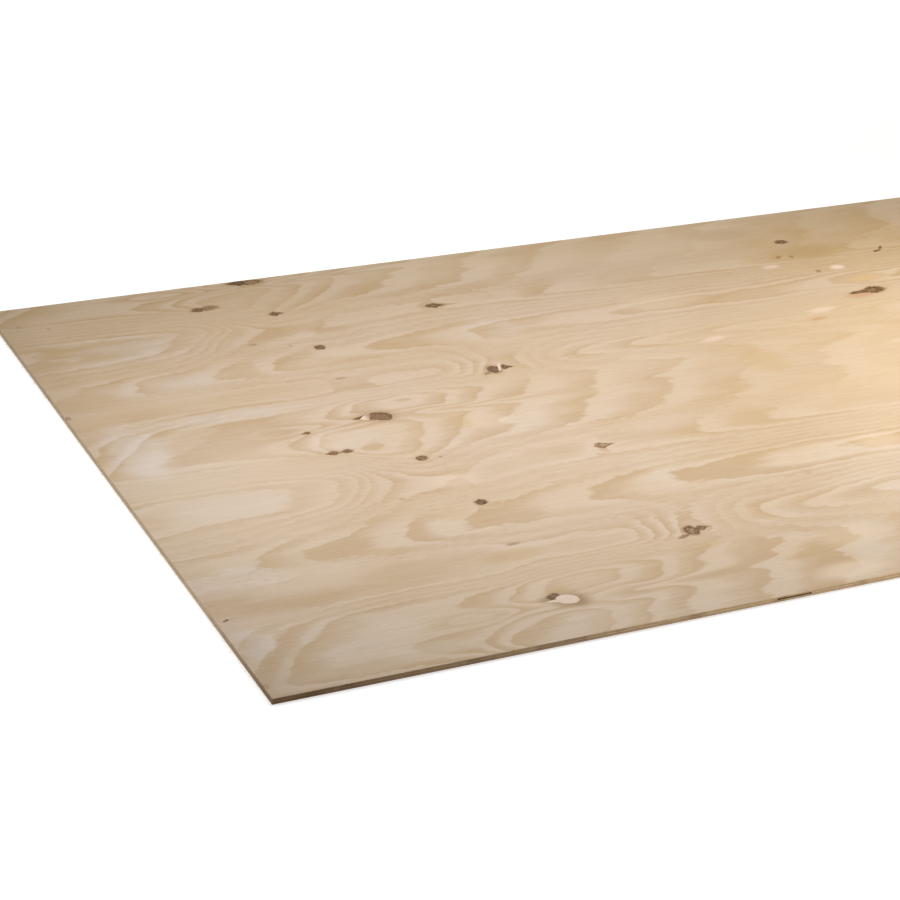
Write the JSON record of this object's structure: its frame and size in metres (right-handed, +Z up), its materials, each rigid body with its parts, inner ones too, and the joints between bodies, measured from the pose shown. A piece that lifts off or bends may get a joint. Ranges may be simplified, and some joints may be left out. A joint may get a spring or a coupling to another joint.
{
  "type": "plywood sheet",
  "caption": "Full-size flat sheet of thin softwood plywood, with cross-banded veneers, a knotty rotary-cut face, an open knothole and a filled one, for sheathing or lining.",
  "frame": {"origin": "centre of the underside, where the sheet rests", "axes": "+X along the face grain and the sheet's length, +Y across its width from the front edge to the back edge, +Z up out of the knotty face"},
  "size_m": [2.44, 1.22, 0.009],
  "materials": {
    "face_wood": "sanded matt softwood veneer",
    "back_wood": "rough peeled softwood veneer",
    "cross_band_wood": "glue-stained softwood veneer, end grain on the long edges",
    "core_wood": "softwood veneer, end grain on the short ends",
    "filler": "cream polyester wood filler, sanded matt"
  },
  "bodies": {
    "root": {"back_veneer": "back_wood", "lower_cross_band": "cross_band_wood", "core_veneer": "core_wood", "upper_cross_band": "cross_band_wood", "face_veneer": "face_wood", "filler_plug": "filler", "filler_chip": "filler"}
  },
  "joints": []
}
